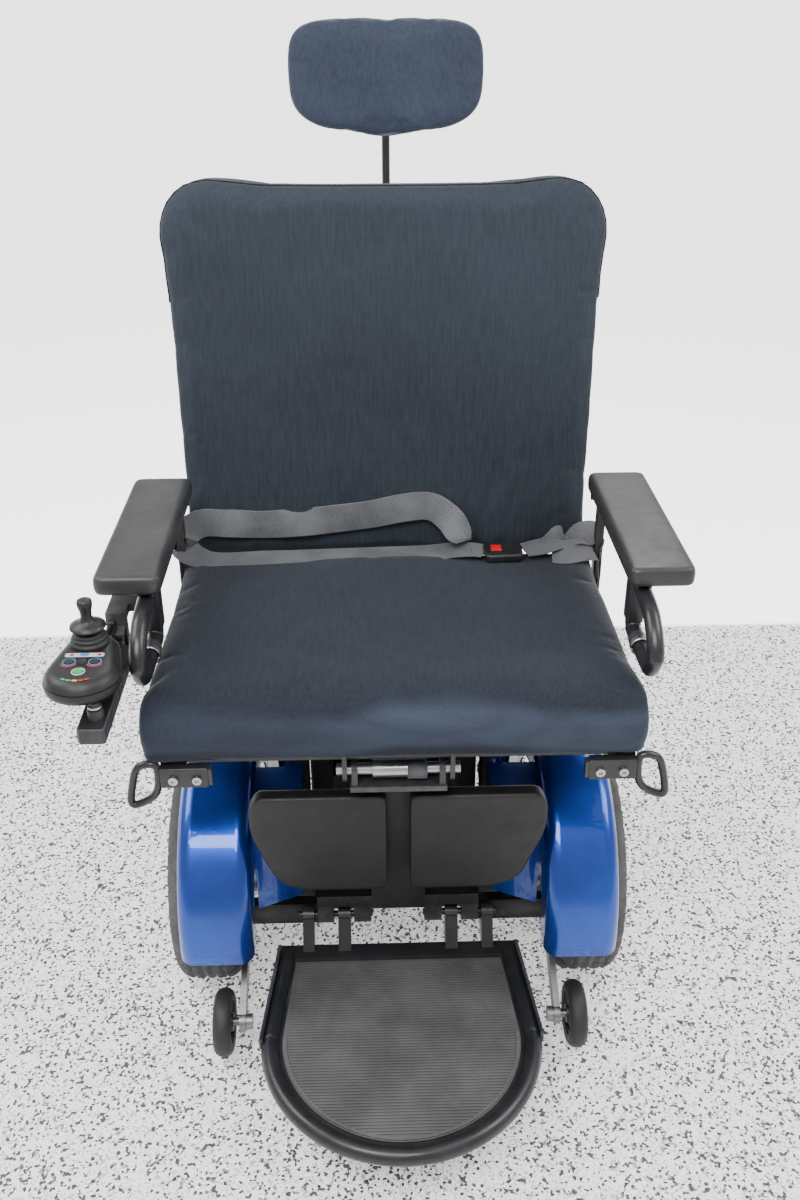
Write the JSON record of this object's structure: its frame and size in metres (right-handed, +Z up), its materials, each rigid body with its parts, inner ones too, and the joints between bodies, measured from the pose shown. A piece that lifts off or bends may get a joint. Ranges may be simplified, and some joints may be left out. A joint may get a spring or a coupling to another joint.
{
  "type": "power wheelchair",
  "caption": "Centre-wheel-drive power wheelchair with a wide padded seat, high back, headrest, flip-up arms, joystick, lap belt, calf pads and a flip-up foot platform.",
  "frame": {"origin": "middle of the overall box's underside, on the floor plane that the drive tyres and casters stand on", "axes": "+X to the user's left, +Y to the rear so the user faces -Y, +Z up"},
  "size_m": [0.799, 1.0554, 1.3404],
  "materials": {
    "black_metal": "satin black powder coat",
    "blue_shell": "metallic blue moulded shell with a clear coat",
    "black_plastic": "black moulded plastic",
    "grey_plastic": "dark grey satin plastic",
    "battery_case": "black battery case",
    "silver_metal": "cast and turned aluminium",
    "steel": "plated steel",
    "grey_tyre": "grey solid tyre",
    "black_rubber": "black rubber",
    "grey_rubber": "ribbed grey rubber mat",
    "cushion_cloth": "dark blue-grey woven cloth",
    "webbing": "grey twill webbing",
    "arm_urethane": "grey moulded urethane",
    "calf_urethane": "black moulded urethane",
    "red_plastic": "red plastic",
    "button_plastic": "pale keys"
  },
  "bodies": {
    "chassis": {"base_frame": "black_metal", "batteries": "battery_case", "control_module": "black_plastic", "body_shroud": "blue_shell", "fender_left": "blue_shell", "fender_right": "blue_shell", "gearmotor_left": "silver_metal", "gearmotor_right": "silver_metal", "seat_tower": "black_metal", "seat_frame": "black_metal", "seat_pan": "black_metal", "seat_cushion": "cushion_cloth", "tie_down_left": "black_metal", "tie_down_right": "black_metal", "tie_down_bolts": "steel", "belt_straps": "webbing", "belt_buckle": "black_plastic", "legrest_pin": "steel"},
    "freewheel_left": {"freewheel_lever_left": "red_plastic"},
    "freewheel_right": {"freewheel_lever_right": "red_plastic"},
    "drive_wheel_left": {"drive_tyre_left": "grey_tyre", "drive_rim_left": "silver_metal"},
    "drive_wheel_right": {"drive_tyre_right": "grey_tyre", "drive_rim_right": "silver_metal"},
    "caster_axle": {"caster_beam": "black_metal"},
    "caster_left": {"caster_fork_left": "black_metal"},
    "caster_right": {"caster_fork_right": "black_metal"},
    "caster_wheel_left": {"caster_tyre_left": "grey_tyre", "caster_hub_left": "silver_metal"},
    "caster_wheel_right": {"caster_tyre_right": "grey_tyre", "caster_hub_right": "silver_metal"},
    "antitip_left": {"antitip_arm_left": "steel"},
    "antitip_right": {"antitip_arm_right": "steel"},
    "antitip_roller_left": {"antitip_wheel_left": "black_rubber"},
    "antitip_roller_right": {"antitip_wheel_right": "black_rubber"},
    "backrest": {"back_frame": "black_metal", "back_shell": "black_plastic", "back_cushion": "cushion_cloth"},
    "head_post": {"headrest_post": "steel"},
    "headrest": {"headrest_pad": "cushion_cloth"},
    "armrest_left": {"arm_frame_left": "black_metal", "arm_pad_left": "arm_urethane"},
    "armrest_right": {"arm_frame_right": "black_metal", "arm_pad_right": "arm_urethane", "joystick_bracket": "black_metal"},
    "joystick_arm": {"joystick_swing_arm": "black_plastic", "joystick_pod": "grey_plastic", "joystick_cable": "black_rubber"},
    "gimbal": {"joystick_gimbal": "silver_metal"},
    "stick": {"joystick_stick": "black_rubber"},
    "power_key": {"power_button": "button_plastic"},
    "slower_key": {"slower_button": "button_plastic"},
    "faster_key": {"faster_button": "button_plastic"},
    "horn_key": {"horn_button": "button_plastic"},
    "buckle_key": {"buckle_button": "red_plastic"},
    "legrest": {"legrest_mast": "black_metal"},
    "calf_left": {"calf_pad_left": "calf_urethane"},
    "calf_right": {"calf_pad_right": "calf_urethane"},
    "foot_platform": {"footplate": "black_metal", "footplate_mat": "grey_rubber"}
  },
  "joints": [
    {"name": "drive_wheel_left_spin", "type": "hinge", "parent": "chassis", "child": "drive_wheel_left", "pos_m": [0.2985, -0.05525, 0.178], "axis": [1, 0, 0], "continuous": true},
    {"name": "freewheel_left_throw", "type": "hinge", "parent": "chassis", "child": "freewheel_left", "pos_m": [0.2035, -0.01925, 0.225], "axis": [0, 0, 1], "range_deg": [0, 45]},
    {"name": "drive_wheel_right_spin", "type": "hinge", "parent": "chassis", "child": "drive_wheel_right", "pos_m": [-0.2675, -0.05525, 0.178], "axis": [1, 0, 0], "continuous": true},
    {"name": "freewheel_right_throw", "type": "hinge", "parent": "chassis", "child": "freewheel_right", "pos_m": [-0.1725, -0.01925, 0.225], "axis": [0, 0, -1], "range_deg": [0, 45]},
    {"name": "caster_axle_rock", "type": "hinge", "parent": "chassis", "child": "caster_axle", "pos_m": [0.0155, 0.41475, 0.1935], "axis": [0, 1, 0], "range_deg": [-6, 6]},
    {"name": "caster_left_swivel", "type": "hinge", "parent": "caster_axle", "child": "caster_left", "pos_m": [0.2555, 0.41475, 0.176], "axis": [0, 0, 1], "continuous": true},
    {"name": "caster_left_roll", "type": "hinge", "parent": "caster_left", "child": "caster_wheel_left", "pos_m": [0.2555, 0.45275, 0.075], "axis": [1, 0, 0], "continuous": true},
    {"name": "antitip_left_lift", "type": "hinge", "parent": "chassis", "child": "antitip_left", "pos_m": [0.244, -0.12325, 0.132], "axis": [-1, 0, 0], "range_deg": [0, 10], "stiffness_Nm_per_rad": 80, "springref_deg": -5.73},
    {"name": "antitip_left_roll", "type": "hinge", "parent": "antitip_left", "child": "antitip_roller_left", "pos_m": [0.2705, -0.26925, 0.057], "axis": [1, 0, 0], "continuous": true},
    {"name": "caster_right_swivel", "type": "hinge", "parent": "caster_axle", "child": "caster_right", "pos_m": [-0.2245, 0.41475, 0.176], "axis": [0, 0, 1], "continuous": true},
    {"name": "caster_right_roll", "type": "hinge", "parent": "caster_right", "child": "caster_wheel_right", "pos_m": [-0.2245, 0.45275, 0.075], "axis": [1, 0, 0], "continuous": true},
    {"name": "antitip_right_lift", "type": "hinge", "parent": "chassis", "child": "antitip_right", "pos_m": [-0.213, -0.12325, 0.132], "axis": [-1, 0, 0], "range_deg": [0, 10], "stiffness_Nm_per_rad": 80, "springref_deg": -5.73},
    {"name": "antitip_right_roll", "type": "hinge", "parent": "antitip_right", "child": "antitip_roller_right", "pos_m": [-0.2395, -0.26925, 0.057], "axis": [1, 0, 0], "continuous": true},
    {"name": "back_recline", "type": "hinge", "parent": "chassis", "child": "backrest", "pos_m": [0.0155, 0.24475, 0.5], "axis": [-1, 0, 0], "range_deg": [-5, 25]},
    {"name": "headrest_height", "type": "slide", "parent": "backrest", "child": "head_post", "axis": [0, 0.0872, 0.9962], "range_m": [-0.035, 0.06]},
    {"name": "headrest_tilt", "type": "hinge", "parent": "head_post", "child": "headrest", "pos_m": [0.0155, 0.35656, 1.26165], "axis": [1, 0, 0], "range_deg": [-20, 20]},
    {"name": "armrest_left_flip", "type": "hinge", "parent": "chassis", "child": "armrest_left", "pos_m": [0.3375, 0.15475, 0.693], "axis": [-1, 0, 0], "range_deg": [0, 90]},
    {"name": "armrest_right_flip", "type": "hinge", "parent": "chassis", "child": "armrest_right", "pos_m": [-0.3065, 0.15475, 0.693], "axis": [-1, 0, 0], "range_deg": [0, 90]},
    {"name": "joystick_swing", "type": "hinge", "parent": "armrest_right", "child": "joystick_arm", "pos_m": [-0.3485, -0.15325, 0.631], "axis": [0, 0, -1], "range_deg": [0, 75]},
    {"name": "stick_sideways", "type": "hinge", "parent": "joystick_arm", "child": "gimbal", "pos_m": [-0.3545, -0.25125, 0.686], "axis": [0, 1, 0], "range_deg": [-18, 18], "stiffness_Nm_per_rad": 0.5},
    {"name": "stick_fore_aft", "type": "hinge", "parent": "gimbal", "child": "stick", "pos_m": [-0.3545, -0.25125, 0.686], "axis": [1, 0, 0], "range_deg": [-18, 18], "stiffness_Nm_per_rad": 0.5},
    {"name": "power_press", "type": "slide", "parent": "joystick_arm", "child": "power_key", "axis": [0, 0, -1], "range_m": [0, 0.001], "stiffness_N_per_m": 400, "springref_m": -0.002},
    {"name": "slower_press", "type": "slide", "parent": "joystick_arm", "child": "slower_key", "axis": [0, 0, -1], "range_m": [0, 0.001], "stiffness_N_per_m": 400, "springref_m": -0.002},
    {"name": "faster_press", "type": "slide", "parent": "joystick_arm", "child": "faster_key", "axis": [0, 0, -1], "range_m": [0, 0.001], "stiffness_N_per_m": 400, "springref_m": -0.002},
    {"name": "horn_press", "type": "slide", "parent": "joystick_arm", "child": "horn_key", "axis": [0, 0, -1], "range_m": [0, 0.001], "stiffness_N_per_m": 400, "springref_m": -0.002},
    {"name": "buckle_release", "type": "slide", "parent": "chassis", "child": "buckle_key", "axis": [0, 0, -1], "range_m": [0, 0.0028], "stiffness_N_per_m": 500, "springref_m": -0.004},
    {"name": "legrest_elevate", "type": "hinge", "parent": "chassis", "child": "legrest", "pos_m": [0.0155, -0.22025, 0.471], "axis": [-1, 0, 0], "range_deg": [0, 40]},
    {"name": "calf_pad_left_swivel", "type": "hinge", "parent": "legrest", "child": "calf_left", "pos_m": [0.0675, -0.17325, 0.351], "axis": [0, 0, 1], "range_deg": [-10, 10]},
    {"name": "calf_pad_right_swivel", "type": "hinge", "parent": "legrest", "child": "calf_right", "pos_m": [-0.0365, -0.17325, 0.351], "axis": [0, 0, 1], "range_deg": [-10, 10]},
    {"name": "footplate_flip", "type": "hinge", "parent": "legrest", "child": "foot_platform", "pos_m": [0.0155, -0.14725, 0.145], "axis": [-1, 0, 0], "range_deg": [0, 60]}
  ]
}
